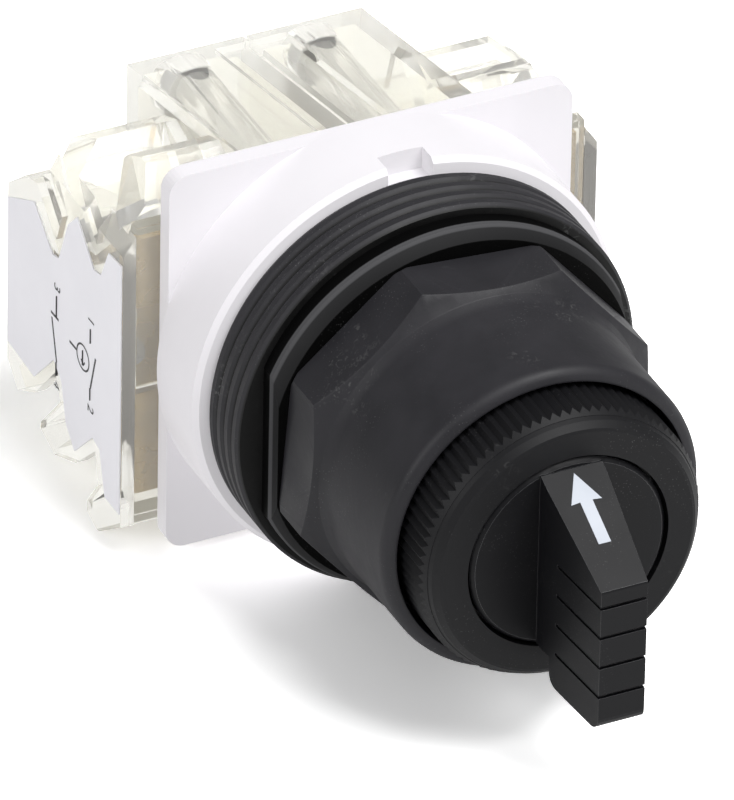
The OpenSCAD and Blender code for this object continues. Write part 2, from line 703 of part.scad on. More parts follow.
// Pad under a terminal screw, lengthened at its front or rear end to meet its leg
module terminal_pad(pad, z, front_more, rear_more) {
    translate([strip_in_x, block_front_y + pad[0], pad[1] - z * column_drop]) rotate([-45, 0, 0])
        difference() {
            translate([0, -pad_len / 2 - front_more, -pad_t])
                cube([strip_out_x - strip_in_x, pad_len + front_more + rear_more, pad_t]);
            translate([pad_mid_x - strip_in_x, 0, -pad_t - 1]) cylinder(r = screw_r, h = pad_t + 2);
        }
}

// Brass strip from a front contact tip, out through the box wall and up to its pad
module front_terminal(s, z) {
    strip_y = [front_strip_y, front_strip_y + strip_t];
    color("#c9a227") side(s) on_level(z) {
        box([pusher_x - 2, strip_out_x], strip_y, strip_band);
        box([strip_in_x, strip_out_x], strip_y, [strip_band[0], front_leg_z - z * column_drop]);
        terminal_pad(front_pad, z, front_reach, 0);
        translate([pusher_x, 0, tip_z]) rod_y(tip_r, strip_y[1] - eps, front_tip_y);
    }
}

// Heights between which a rear strip crosses the box wall
function rear_leg_band(z) =
    [rear_leg_z - z * column_drop, rear_leg_z - z * column_drop + rear_leg_h];

// Brass strip from a rear contact tip, folded down inside the box and out to its pad
module rear_terminal(s, z) {
    strip_y = [rear_strip_y, rear_strip_y + strip_t];
    leg = rear_leg_band(z);
    color("#c9a227") side(s) on_level(z) {
        box([pusher_x - 2, riser_x + strip_t], strip_y, strip_band);
        box([riser_x, riser_x + strip_t], [rear_strip_y, rear_strip_y + riser_len],
            [leg[0], strip_band[1]]);
        box([riser_x, strip_out_x], strip_y, leg);
        terminal_pad(rear_pad, z, 0, rear_reach);
        translate([pusher_x, 0, tip_z]) rod_y(tip_r, rear_tip_y, strip_y[0] + eps);
    }
}

// Places its children on each of the four terminal pads, with +Z along the screw
module on_pads(s) {
    side(s) for (z = [top, bottom]) on_level(z) for (pad = [front_pad, rear_pad])
        translate([pad_mid_x, block_front_y + pad[0], pad[1] - z * column_drop])
            rotate([-45, 0, 0]) children();
}

module wire_clamps(s) {
    color("#b4b4b0") on_pads(s) difference() {
        translate([-clamp_w / 2, -clamp_w / 2, 0]) cube([clamp_w, clamp_w, clamp_t]);
        translate([0, 0, -1]) cylinder(r = screw_r, h = clamp_t + 2);
    }
}

module terminal_screws(s) {
    color("#8d8f92") on_pads(s) {
        translate([0, 0, -shank_len]) cylinder(r = screw_r, h = shank_len + clamp_t + eps);
        difference() {
            translate([0, 0, clamp_t]) cylinder(r = screw_head_r, h = screw_head_h);
            translate([-0.35, -screw_head_r - 1, clamp_t + screw_head_h - 0.9])
                cube([0.7, 2 * screw_head_r + 2, 2]);
        }
    }
}

// Carrier: pushed from the front, with one window for each bridge and its spring
module carrier(s) {
    color("#3c3a38") side(s) translate([pusher_x, 0, 0]) difference() {
        union() {
            box([-carrier_w / 2, carrier_w / 2], [pusher_rear_y, carrier_rear_y], [-carrier_h / 2, carrier_h / 2]);
            rod_y(spigot_r, carrier_rear_y - eps, carrier_rear_y + spigot_len);
        }
        box([-window_w / 2, window_w / 2], [front_bridge_y, front_bridge_y + front_window_len],
            [-carrier_h, carrier_h]);
        box([-window_w / 2, window_w / 2], [rear_window_y, rear_window_y + rear_window_len],
            [-carrier_h, carrier_h]);
    }
}

module bridge(s, y, tip_side) {
    tip_y = tip_side > 0 ? y + strip_t - eps : y - tip_t;
    color("#c9a227") side(s) translate([pusher_x, 0, 0]) {
        box([-bridge_w / 2, bridge_w / 2], [y, y + strip_t], [-bridge_z, bridge_z]);
        for (z = [top, bottom]) translate([0, 0, z * tip_z]) rod_y(tip_r, tip_y, tip_y + tip_t + eps);
    }
}

module contact_spring(s, y0, y1) {
    color("#a9abad") side(s) translate([pusher_x, 0, 0]) coil(1.35, 0.17, y0, y1, 4, 14);
}

module return_spring(s) {
    color("#a9abad") side(s) translate([pusher_x, 0, 0]) coil(2.05, 0.24, carrier_rear_y, rear_wall_y, 6);
}

module mounting_screws(s) {
    color("#b8b9bb") side(s) for (z = [top, bottom]) translate([pusher_x, 0, z * mount_screw_z]) difference() {
        union() {
            rod_y(mount_screw_r, screw_end_y, head_pocket_y + eps);
            rod_y(head_r, head_pocket_y, head_pocket_y + head_len);
        }
        rod_y(stack_hole_r, head_pocket_y - 2, head_pocket_y + head_len + eps);
    }
}

operator_base();
threaded_bushing();
gasket(1);  // gasket_1
gasket(2);  // gasket_2
gasket(3);  // gasket_3
gasket(4);  // gasket_4
thrust_washer();
ring_nut();
retaining_ring();
knob();
pointer_arrow();
spindle();
shaft_seal();
cam();
cam_clip();
detent_spring();
pusher(left);  // left_pusher
pusher(right);  // right_pusher
housing(left);  // left_housing
housing(right);  // right_housing
cover(left);  // left_cover
cover(right);  // right_cover
label(left);  // left_label
label(right);  // right_label
front_terminal(left, top);  // left_terminal_1
front_terminal(left, bottom);  // left_terminal_2
rear_terminal(left, top);  // left_terminal_3
rear_terminal(left, bottom);  // left_terminal_4
front_terminal(right, top);  // right_terminal_1
front_terminal(right, bottom);  // right_terminal_2
rear_terminal(right, top);  // right_terminal_3
rear_terminal(right, bottom);  // right_terminal_4
wire_clamps(left);  // left_wire_clamps
wire_clamps(right);  // right_wire_clamps
terminal_screws(left);  // left_terminal_screws
terminal_screws(right);  // right_terminal_screws
carrier(left);  // left_carrier
carrier(right);  // right_carrier
bridge(left, front_bridge_y, -1);  // left_front_bridge
bridge(right, front_bridge_y, -1);  // right_front_bridge
bridge(left, rear_bridge_y, 1);  // left_rear_bridge
bridge(right, rear_bridge_y, 1);  // right_rear_bridge
contact_spring(left, front_bridge_y + strip_t, front_bridge_y + front_window_len);  // left_front_contact_spring
contact_spring(right, front_bridge_y + strip_t, front_bridge_y + front_window_len);  // right_front_contact_spring
contact_spring(left, rear_window_y, rear_bridge_y);  // left_rear_contact_spring
contact_spring(right, rear_window_y, rear_bridge_y);  // right_rear_contact_spring
return_spring(left);  // left_return_spring
return_spring(right);  // right_return_spring
mounting_screws(left);  // left_mounting_screws
mounting_screws(right);  // right_mounting_screws
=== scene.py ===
# %% [markdown]
# A panel selector switch lies on a white table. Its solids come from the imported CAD
# model, which already has the right sizes, so this lesson loads them as a fixed frame
# and adds what CAD leaves out: finishes, fine trim, light and a camera.

# %% Load the frame
import math

import bmesh
import bpy
from mathutils import Matrix, Vector


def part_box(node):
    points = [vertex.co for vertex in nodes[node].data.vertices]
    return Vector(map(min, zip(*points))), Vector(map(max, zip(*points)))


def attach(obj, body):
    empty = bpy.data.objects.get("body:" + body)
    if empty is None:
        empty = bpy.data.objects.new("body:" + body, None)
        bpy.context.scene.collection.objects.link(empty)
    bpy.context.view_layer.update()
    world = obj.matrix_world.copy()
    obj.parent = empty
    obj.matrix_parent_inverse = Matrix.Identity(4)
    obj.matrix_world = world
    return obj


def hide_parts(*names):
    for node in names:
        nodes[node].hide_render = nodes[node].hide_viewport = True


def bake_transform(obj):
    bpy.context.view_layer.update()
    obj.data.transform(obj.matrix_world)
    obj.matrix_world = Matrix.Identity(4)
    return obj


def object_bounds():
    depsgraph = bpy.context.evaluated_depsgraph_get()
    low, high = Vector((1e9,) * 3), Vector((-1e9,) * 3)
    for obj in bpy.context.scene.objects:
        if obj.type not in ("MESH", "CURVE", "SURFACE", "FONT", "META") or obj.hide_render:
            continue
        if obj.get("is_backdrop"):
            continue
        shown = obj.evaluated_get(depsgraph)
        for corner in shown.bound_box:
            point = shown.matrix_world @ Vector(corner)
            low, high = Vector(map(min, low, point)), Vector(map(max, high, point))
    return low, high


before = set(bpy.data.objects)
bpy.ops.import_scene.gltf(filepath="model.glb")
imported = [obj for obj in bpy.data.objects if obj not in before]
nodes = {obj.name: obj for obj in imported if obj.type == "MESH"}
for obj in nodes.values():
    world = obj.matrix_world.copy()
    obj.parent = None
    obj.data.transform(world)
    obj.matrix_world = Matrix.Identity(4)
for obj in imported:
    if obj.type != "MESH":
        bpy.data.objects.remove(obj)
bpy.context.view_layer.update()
MM = 0.001

# %% [markdown]
# The camera comes early, because every later look depends on it. The photograph was
# taken with a long lens from the front left and above. A direction, a distance and the
# pixel where the middle of the base plate lands are enough to place it.

# %% Place the camera
WIDTH, HEIGHT = 734, 800
FOCAL_PX = 15793
DISTANCE = 1.474


def camera_axes(azimuth, elevation, roll):
    az, el, turn = (math.radians(a) for a in (azimuth, elevation, roll))
    back = Vector((math.sin(az) * math.cos(el), -math.cos(az) * math.cos(el), math.sin(el)))
    level = Vector((math.cos(az), math.sin(az), 0))
    rise = back.cross(level)
    across = level * math.cos(turn) + rise * math.sin(turn)
    up = rise * math.cos(turn) - level * math.sin(turn)
    return across, up, back


def place_camera(target, pixel):
    across, up, back = camera_axes(-26.08, 33.93, 1.13)
    shift_x = (pixel[0] - WIDTH / 2) / FOCAL_PX * DISTANCE
    shift_y = -(pixel[1] - HEIGHT / 2) / FOCAL_PX * DISTANCE
    place = target - across * shift_x - up * shift_y + back * DISTANCE
    data = bpy.data.cameras.new("photo_camera")
    data.lens = FOCAL_PX * 36 / HEIGHT
    data.clip_start, data.clip_end = 0.05, 20
    camera = bpy.data.objects.new("photo_camera", data)
    bpy.context.scene.collection.objects.link(camera)
    turn = Matrix((across, up, back)).transposed().to_4x4()
    camera.matrix_world = Matrix.Translation(place) @ turn
    bpy.context.scene.camera = camera
    return camera


camera = place_camera(Vector((0, 8.2 * MM, 0)), (368.9, 316.0))
print("camera at", [round(v, 3) for v in camera.matrix_world.translation])

# %% [markdown]
# Several finishes share the same small effects: a fine moulded grain, pale dust and
# rubbed edges. Each is a node group, made once with named sockets. A group gives out
# only masks and heights, and the shader that uses them stays in its own material.

# %% Node group helpers
GROUPS = {}


def new_group(name, inputs, outputs):
    group = bpy.data.node_groups.new(name, "ShaderNodeTree")
    for socket, kind, value in inputs:
        item = group.interface.new_socket(name=socket, in_out="INPUT", socket_type=kind)
        if value is not None:
            item.default_value = value
    for socket, kind in outputs:
        group.interface.new_socket(name=socket, in_out="OUTPUT", socket_type=kind)
    GROUPS[name] = group
    return group, group.nodes.new("NodeGroupInput"), group.nodes.new("NodeGroupOutput")


def node(tree, kind, inputs=None, **settings):
    made = tree.nodes.new(kind)
    for key, value in settings.items():
        setattr(made, key, value)
    for key, value in (inputs or {}).items():
        if isinstance(value, bpy.types.NodeSocket):
            tree.links.new(value, made.inputs[key])
        else:
            made.inputs[key].default_value = value
    return made


# %% Grain, dust and edge wear
def make_grain():
    group, start, end = new_group(
        "moulded_grain",
        [("Scale", "NodeSocketFloat", 2500.0), ("Blotch", "NodeSocketFloat", 220.0)],
        [("Height", "NodeSocketFloat"), ("Mottle", "NodeSocketFloat")])
    place = node(group, "ShaderNodeTexCoord").outputs["Object"]
    fine = node(group, "ShaderNodeTexNoise", {"Vector": place, "Scale": start.outputs["Scale"], "Detail": 3.0})
    soft = node(group, "ShaderNodeTexNoise", {"Vector": place, "Scale": start.outputs["Blotch"], "Detail": 5.0})
    group.links.new(fine.outputs["Fac"], end.inputs["Height"])
    group.links.new(soft.outputs["Fac"], end.inputs["Mottle"])


def make_dust():
    group, start, end = new_group(
        "settled_dust",
        [("Amount", "NodeSocketFloat", 0.3), ("Scale", "NodeSocketFloat", 3200.0)],
        [("Mask", "NodeSocketFloat")])
    place = node(group, "ShaderNodeTexCoord").outputs["Object"]
    specks = node(group, "ShaderNodeTexVoronoi", {"Vector": place, "Scale": start.outputs["Scale"]})
    spread = node(group, "ShaderNodeTexNoise", {"Vector": place, "Scale": 160.0, "Detail": 4.0})
    near = node(group, "ShaderNodeMapRange", {"Value": specks.outputs["Distance"], 1: 0.08, 2: 0.2, 3: 1.0, 4: 0.0})
    where = node(group, "ShaderNodeMapRange", {"Value": spread.outputs["Fac"], 1: 0.5, 2: 0.72, 3: 0.0, 4: 1.0})
    both = node(group, "ShaderNodeMath", {0: near.outputs[0], 1: where.outputs[0]}, operation="MULTIPLY")
    scaled = node(group, "ShaderNodeMath", {0: both.outputs[0], 1: start.outputs["Amount"]}, operation="MULTIPLY")
    group.links.new(scaled.outputs[0], end.inputs["Mask"])


def make_wear():
    group, start, end = new_group(
        "rubbed_edges",
        [("Amount", "NodeSocketFloat", 0.5)],
        [("Mask", "NodeSocketFloat")])
    edge = node(group, "ShaderNodeNewGeometry").outputs["Pointiness"]
    place = node(group, "ShaderNodeTexCoord").outputs["Object"]
    sharp = node(group, "ShaderNodeMapRange", {"Value": edge, 1: 0.52, 2: 0.6, 3: 0.0, 4: 1.0})
    broken = node(group, "ShaderNodeTexNoise", {"Vector": place, "Scale": 700.0, "Detail": 4.0})
    cut = node(group, "ShaderNodeMath", {0: sharp.outputs[0], 1: broken.outputs["Fac"]}, operation="MULTIPLY")
    scaled = node(group, "ShaderNodeMath", {0: cut.outputs[0], 1: start.outputs["Amount"]}, operation="MULTIPLY")
    group.links.new(scaled.outputs[0], end.inputs["Mask"])


def make_scuffs():
    group, start, end = new_group(
        "scuff_marks",
        [("Amount", "NodeSocketFloat", 0.3)],
        [("Mask", "NodeSocketFloat")])
    place = node(group, "ShaderNodeTexCoord").outputs["Object"]
    fine = node(group, "ShaderNodeTexNoise", {"Vector": place, "Scale": 1400.0, "Detail": 6.0, "Distortion": 1.6})
    patch = node(group, "ShaderNodeTexNoise", {"Vector": place, "Scale": 130.0, "Detail": 2.0})
    lines = node(group, "ShaderNodeMapRange", {"Value": fine.outputs["Fac"], 1: 0.56, 2: 0.68, 3: 0.0, 4: 1.0})
    where = node(group, "ShaderNodeMapRange", {"Value": patch.outputs["Fac"], 1: 0.58, 2: 0.7, 3: 0.0, 4: 1.0})
    both = node(group, "ShaderNodeMath", {0: lines.outputs[0], 1: where.outputs[0]}, operation="MULTIPLY")
    scaled = node(group, "ShaderNodeMath", {0: both.outputs[0], 1: start.outputs["Amount"]}, operation="MULTIPLY")
    group.links.new(scaled.outputs[0], end.inputs["Mask"])


def make_axis_place():
    """How far along the switch's axis a point lies, in steps of Pitch, and how far out."""
    group, start, end = new_group(
        "axis_place",
        [("Start", "NodeSocketFloat", 0.0), ("Pitch", "NodeSocketFloat", 0.0016)],
        [("Along", "NodeSocketFloat"), ("Reach", "NodeSocketFloat")])
    place = node(group, "ShaderNodeTexCoord").outputs["Object"]
    parts = node(group, "ShaderNodeSeparateXYZ", {"Vector": place})
    along = node(group, "ShaderNodeMath", {0: start.outputs["Start"], 1: parts.outputs["Y"]}, operation="SUBTRACT")
    share = node(group, "ShaderNodeMath", {0: along.outputs[0], 1: start.outputs["Pitch"]}, operation="DIVIDE")
    group.links.new(share.outputs[0], end.inputs["Along"])
    flat = node(group, "ShaderNodeCombineXYZ", {"X": parts.outputs["X"], "Y": parts.outputs["Z"]})
    reach = node(group, "ShaderNodeVectorMath", {0: flat.outputs[0]}, operation="LENGTH")
    group.links.new(reach.outputs["Value"], end.inputs["Reach"])


make_grain()
make_dust()
make_wear()
make_scuffs()
make_axis_place()
print("groups", sorted(GROUPS))

# %% [markdown]
# One function builds every solid finish from the same three groups: a base colour with
# a slight mottle, dust that lightens it, worn edges, and a bump from the grain. Only the
# numbers differ between the black mouldings, the white base, the rubber and the metals.

# %% Solid finishes
def group_node(tree, name, **values):
    made = tree.nodes.new("ShaderNodeGroup")
    made.node_tree = GROUPS[name]
    for key, value in values.items():
        made.inputs[key].default_value = value
    return made


def mix_colour(tree, factor, first, second):
    made = tree.nodes.new("ShaderNodeMix")
    made.data_type = "RGBA"
    for key, value in ((0, factor), (6, first), (7, second)):
        if isinstance(value, bpy.types.NodeSocket):
            tree.links.new(value, made.inputs[key])
        else:
            made.inputs[key].default_value = value
    return made.outputs[2]


def solid(name, colour, other, rough, metal=0.0, grain=2500.0, bump=0.1, dust=0.0,
          dust_colour=(0.5, 0.5, 0.5, 1), wear=0.0, wear_colour=(0.3, 0.3, 0.3, 1), **shader):
    material = bpy.data.materials.new(name)
    material.use_nodes = True
    tree = material.node_tree
    cover = tree.nodes["Principled BSDF"]
    marks = group_node(tree, "moulded_grain", Scale=grain)
    flecks = group_node(tree, "settled_dust", Amount=dust)
    edges = group_node(tree, "rubbed_edges", Amount=wear)
    tone = mix_colour(tree, marks.outputs["Mottle"], (*colour, 1), (*other, 1))
    tone = mix_colour(tree, edges.outputs["Mask"], tone, wear_colour)
    tone = mix_colour(tree, flecks.outputs["Mask"], tone, dust_colour)
    tree.links.new(tone, cover.inputs["Base Color"])
    shine = node(tree, "ShaderNodeMapRange", {"Value": marks.outputs["Mottle"], 1: 0.3, 2: 0.7,
                                              3: rough[0], 4: rough[1]})
    tree.links.new(shine.outputs[0], cover.inputs["Roughness"])
    relief = node(tree, "ShaderNodeBump", {"Height": marks.outputs["Height"], "Strength": bump,
                                           "Distance": 0.00004})
    tree.links.new(relief.outputs["Normal"], cover.inputs["Normal"])
    cover.inputs["Metallic"].default_value = metal
    for key, value in shader.items():
        cover.inputs[key.replace("_", " ")].default_value = value
    return material


def dress(material, *names):
    for name in names:
        slots = nodes[name].data.materials
        slots.clear()
        slots.append(material)


finish = {
    "nut": solid("black_nylon", (0.013, 0.013, 0.015), (0.024, 0.023, 0.027), (0.42, 0.56), Specular_IOR_Level=0.24,
                 bump=0.35, grain=1500.0, dust=0.15),
    "ring": solid("black_ring", (0.005, 0.005, 0.006), (0.007, 0.007, 0.008), (0.46, 0.50), Specular_IOR_Level=0.2,
                  bump=0.15, dust=0.15),
    # The washer's near-black colour with little gloss is partly its own black and partly painted shade for its front
    # face, which lies between rim and nut.
    "washer": solid("black_washer_painted_shade", (0.001, 0.001, 0.001), (0.002, 0.002, 0.002), (0.5, 0.6), Specular_IOR_Level=0.06,
                    bump=0.15, dust=0.15),
    "knob": solid("black_knob", (0.002, 0.002, 0.003), (0.004, 0.004, 0.005), (0.42, 0.47), Specular_IOR_Level=0.2,
                  bump=0.08, dust=0.12),
    # A lighter colour for the knob's bevel faces: a painted highlight along its edges.
    "knob_painted_highlight": solid("knob_bevel_painted_highlight", (0.08, 0.08, 0.085), (0.12, 0.12, 0.125), (0.3, 0.4)),
    "rubber": solid("gasket_rubber", (0.009, 0.009, 0.011), (0.024, 0.023, 0.027), (0.48, 0.65), Specular_IOR_Level=0.35,
                    bump=0.4, grain=1900.0, dust=0.2),
    # The white base glows faintly: a painted glow that lifts its shaded lower side in place of fill light.
    "white": solid("white_base_painted_glow", (0.59, 0.575, 0.60), (0.55, 0.535, 0.56), (0.42, 0.55), bump=0.08,
                   Specular_IOR_Level=0.3, Emission_Color=(1.0, 0.98, 1.0, 1), Emission_Strength=0.22),
    "arrow": solid("white_arrow", (0.46, 0.49, 0.54), (0.40, 0.43, 0.49), (0.4, 0.5), bump=0.1),
    "label": solid("label_film", (0.88, 0.87, 0.91), (0.83, 0.82, 0.86), (0.45, 0.6), bump=0.05),
    "brass": solid("brass_strip", (0.38, 0.24, 0.05), (0.17, 0.10, 0.02), (0.22, 0.42), metal=1.0,
                   bump=0.1, wear=0.3, wear_colour=(0.8, 0.65, 0.3, 1)),
    "zinc": solid("zinc_steel", (0.40, 0.41, 0.44), (0.22, 0.22, 0.25), (0.2, 0.38), metal=1.0, bump=0.12),
    "spring": solid("spring_steel", (0.5, 0.5, 0.52), (0.35, 0.35, 0.37), (0.18, 0.3), metal=1.0, bump=0.05),
    "amber": solid("cam_nylon", (0.72, 0.46, 0.14), (0.62, 0.38, 0.10), (0.35, 0.5)),
    "nylon": solid("white_nylon", (0.82, 0.80, 0.72), (0.74, 0.72, 0.64), (0.35, 0.5)),
    "dark": solid("dark_moulding", (0.06, 0.055, 0.05), (0.035, 0.03, 0.03), (0.35, 0.5)),
}
print("solid finishes", len(finish))

# %% [markdown]
# The contact blocks are moulded in clear polycarbonate that has yellowed slightly. A
# refracting shader is what makes its edges catch the light.
# A faint noise in the bump stands for the flow marks of the moulding.

# %% Clear polycarbonate
def clear_plastic(name, tint, deep):
    material = bpy.data.materials.new(name)
    material.use_nodes = True
    tree = material.node_tree
    cover = tree.nodes["Principled BSDF"]
    marks = group_node(tree, "moulded_grain", Scale=900.0, Blotch=140.0)
    tree.links.new(mix_colour(tree, marks.outputs["Mottle"], (*tint, 1), (*deep, 1)), cover.inputs["Base Color"])
    shine = node(tree, "ShaderNodeMapRange", {"Value": marks.outputs["Mottle"], 1: 0.3, 2: 0.7, 3: 0.02, 4: 0.09})
    tree.links.new(shine.outputs[0], cover.inputs["Roughness"])
    relief = node(tree, "ShaderNodeBump", {"Height": marks.outputs["Mottle"], "Strength": 0.1, "Distance": 0.0002})
    tree.links.new(relief.outputs["Normal"], cover.inputs["Normal"])
    cover.inputs["Transmission Weight"].default_value = 0.82
    cover.inputs["IOR"].default_value = 1.2
    # A weak warm emission is a painted glow that brightens the blocks.
    cover.inputs["Emission Color"].default_value = (1.0, 0.96, 0.86, 1)
    cover.inputs["Emission Strength"].default_value = 0.03
    return material


def overlay(material, factor, other):
    """Mix another colour, or the colour from a socket, into a finish where a mask is 1."""
    tree = material.node_tree
    cover = tree.nodes["Principled BSDF"]
    base = cover.inputs["Base Color"].links[0].from_socket
    tree.links.new(mix_colour(tree, factor, base, other), cover.inputs["Base Color"])


def axis_place(material, name):
    """The place of a point along the thickness of a CAD ring, from its rear face to its front."""
    low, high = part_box(name)
    return group_node(material.node_tree, "axis_place", Start=high.y, Pitch=high.y - low.y)


def paint_gasket_seam_shade(material, name):
    """Thin lines of painted shade where one gasket meets the next."""
    tree = material.node_tree
    where = axis_place(material, name)
    fold = node(tree, "ShaderNodeMath", {0: where.outputs["Along"], 1: 0.5}, operation="PINGPONG")
    seam = node(tree, "ShaderNodeMapRange", {"Value": fold.outputs[0], 1: 0.04, 2: 0.12, 3: 1.0, 4: 0.0})
    # Black mixed in near each gasket's ends: painted shade in the grooves between gaskets.
    overlay(material, seam.outputs[0], (0, 0, 0, 1))


def paint_washer_rim_light(material, name):
    """Along the rim of a black washer: a dark rear edge, a painted highlight line and a grey front edge of painted
    half-light.
    """
    tree = material.node_tree
    where = axis_place(material, name)
    # Painted highlight and painted shade along the rim, from rear to front.
    ramp = tree.nodes.new("ShaderNodeValToRGB")
    steps = ramp.color_ramp.elements
    for spot, level in [(0.0, 0.001), (0.38, 0.001), (0.42, 0.075), (0.62, 0.06), (0.66, 0.018), (1.0, 0.012)]:
        step = steps[0] if spot == 0.0 else steps[-1] if spot == 1.0 else steps.new(spot)
        step.color = (level, level, 1.05 * level, 1)
    tree.links.new(where.outputs["Along"], ramp.inputs[0])
    outer = node(tree, "ShaderNodeMath", {0: where.outputs["Reach"], 1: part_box(name)[1].x - 2.2 * MM},
                 operation="GREATER_THAN")
    front = node(tree, "ShaderNodeMath", {0: where.outputs["Along"], 1: 0.985}, operation="LESS_THAN")
    rim = node(tree, "ShaderNodeMath", {0: outer.outputs[0], 1: front.outputs[0]}, operation="MULTIPLY")
    overlay(material, rim.outputs[0], ramp.outputs[0])


def add_scuffs(material, amount, level):
    marks = group_node(material.node_tree, "scuff_marks", Amount=amount)
    overlay(material, marks.outputs["Mask"], (level, level, level, 1))


paint_gasket_seam_shade(finish["rubber"], "gasket_1")
paint_washer_rim_light(finish["washer"], "thrust_washer")
for name, amount in [("rubber", 0.8), ("nut", 0.7), ("ring", 0.3)]:
    add_scuffs(finish[name], amount, 0.09)
finish["clear"] = clear_plastic("clear_polycarbonate", (0.99, 0.985, 0.955), (0.975, 0.965, 0.91))

# %% Dress every solid
SIDES = ("left", "right")


def both(*names):
    return [f"{side}_{name}" for side in SIDES for name in names]


dress(finish["white"], "operator_base")
dress(finish["nut"], "threaded_bushing", "ring_nut")
dress(finish["rubber"], "gasket_1", "gasket_2", "gasket_3", "gasket_4", "shaft_seal")
dress(finish["washer"], "thrust_washer")
dress(finish["ring"], "retaining_ring")
dress(finish["knob"], "knob")
dress(finish["arrow"], "pointer_arrow")
dress(finish["zinc"], "spindle", "cam_clip", *both("wire_clamps", "terminal_screws", "mounting_screws"))
dress(finish["amber"], "cam")
dress(finish["spring"], "detent_spring", *both("front_contact_spring", "rear_contact_spring", "return_spring"))
dress(finish["nylon"], *both("pusher"))
dress(finish["dark"], *both("carrier"))
dress(finish["brass"], *both("terminal_1", "terminal_2", "terminal_3", "terminal_4",
                             "front_bridge", "rear_bridge"))
dress(finish["clear"], *both("housing", "cover"))
dress(finish["label"], *both("label"))
print("dressed", len(nodes))

# %% [markdown]
# Moulded edges are never razor sharp. A narrow bevel on the mouldings gives each edge
# the thin line of light that the real one shows. The CAD meshes are loose triangles, so
# a weld comes first, and the bevel only takes edges that turn by more than 30 degrees.

# %% Soften the edges
def soften(name, width, angle=30, shine=None):
    """Bevel the edges of a CAD node; where shine is given, the bevel faces take that lighter material as a painted
    highlight.
    """
    piece = nodes[name]
    weld = piece.modifiers.new("weld", "WELD")
    weld.merge_threshold = 0.000002
    edge = piece.modifiers.new("edge", "BEVEL")
    edge.width = width * MM
    edge.segments = 2
    edge.limit_method = "ANGLE"
    edge.angle_limit = math.radians(angle)
    edge.harden_normals = True
    if shine:
        piece.data.materials.append(shine)
        edge.material = len(piece.data.materials) - 1


for name, width in [("ring_nut", 0.25),
                    ("left_housing", 0.12), ("right_housing", 0.12), ("left_cover", 0.1), ("right_cover", 0.1)]:
    soften(name, width)
# The knob's bevel faces take a lighter material, a painted highlight along its edges.
soften("knob", 0.09, shine=finish["knob_painted_highlight"])
print("edges softened")

# %% [markdown]
# A return spring is shorter when its pusher is in and longer when it is out. A copy of
# each CAD coil stands for it, with its placement baked into the mesh, while the CAD
# coil itself is hidden.

# %% Copies of the return springs
def flexing_spring(side):
    source = nodes[f"{side}_return_spring"]
    data = source.data.copy()
    data.transform(source.matrix_world)
    data.name = f"{side}_return_coil"
    piece = bpy.data.objects.new(data.name, data)
    bpy.context.scene.collection.objects.link(piece)
    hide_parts(source.name)
    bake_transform(piece)
    return piece


for side in SIDES:
    print(flexing_spring(side).name)

# %% [markdown]
# The side labels carry plain contact symbols and the numbers 1 to 4. Each symbol is a
# few thin bars and a ring, laid a fiftieth of a millimetre above the film, and the
# numbers are text turned into mesh. Depth runs back from the block's front face, and
# height from the middle of the wiring column, as the label itself was drawn.

# %% Label print
BLOCK_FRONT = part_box("left_cover")[0].y
COLUMN_Z = -1.8 * MM
LABEL_X = abs(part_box("left_label")[0].x)
INK = 0.02 * MM


def on_label(depth, height):
    return Vector((0, BLOCK_FRONT + depth * MM, COLUMN_Z + height * MM))


def ink_bar(mesh, start, end, width):
    first, last = on_label(*start), on_label(*end)
    along = last - first
    made = bmesh.ops.create_cube(mesh, size=1.0)["verts"]
    bmesh.ops.scale(mesh, verts=made, vec=(2 * INK, width * MM, along.length))
    turn = Vector((0, 0, 1)).rotation_difference(along).to_matrix()
    bmesh.ops.rotate(mesh, verts=made, cent=(0, 0, 0), matrix=turn)
    bmesh.ops.translate(mesh, verts=made, vec=(first + last) / 2)


def ink_ring(mesh, centre, radius, width):
    made = bmesh.ops.create_circle(mesh, segments=40, radius=(radius - width / 2) * MM)["verts"]
    edges = list({edge for vert in made for edge in vert.link_edges})
    grown = bmesh.ops.extrude_edge_only(mesh, edges=edges)["geom"]
    outer = [item for item in grown if isinstance(item, bmesh.types.BMVert)]
    bmesh.ops.scale(mesh, verts=outer, vec=[(radius + width / 2) / (radius - width / 2)] * 3)
    bmesh.ops.rotate(mesh, verts=made + outer, cent=(0, 0, 0), matrix=Matrix.Rotation(math.pi / 2, 3, "Y"))
    bmesh.ops.translate(mesh, verts=made + outer, vec=on_label(*centre) - Vector((INK, 0, 0)))


def ink_number(mesh, text, centre, size, mirrored):
    curve = bpy.data.curves.new("number", "FONT")
    curve.body, curve.size = text, size * MM
    curve.align_x, curve.align_y = "CENTER", "CENTER"
    holder = bpy.data.objects.new("number", curve)
    flat = bpy.data.meshes.new_from_object(holder)
    bpy.data.objects.remove(holder)
    start = len(mesh.verts)
    mesh.from_mesh(flat)
    mesh.verts.ensure_lookup_table()
    made = mesh.verts[start:]
    if mirrored:
        bmesh.ops.scale(mesh, verts=made, vec=(-1, 1, 1))
    turn = Matrix(((0, 0, -1), (0, -1, 0), (-1, 0, 0)))
    bmesh.ops.rotate(mesh, verts=made, cent=(0, 0, 0), matrix=turn)
    bmesh.ops.translate(mesh, verts=made, vec=on_label(*centre) - Vector((INK, 0, 0)))


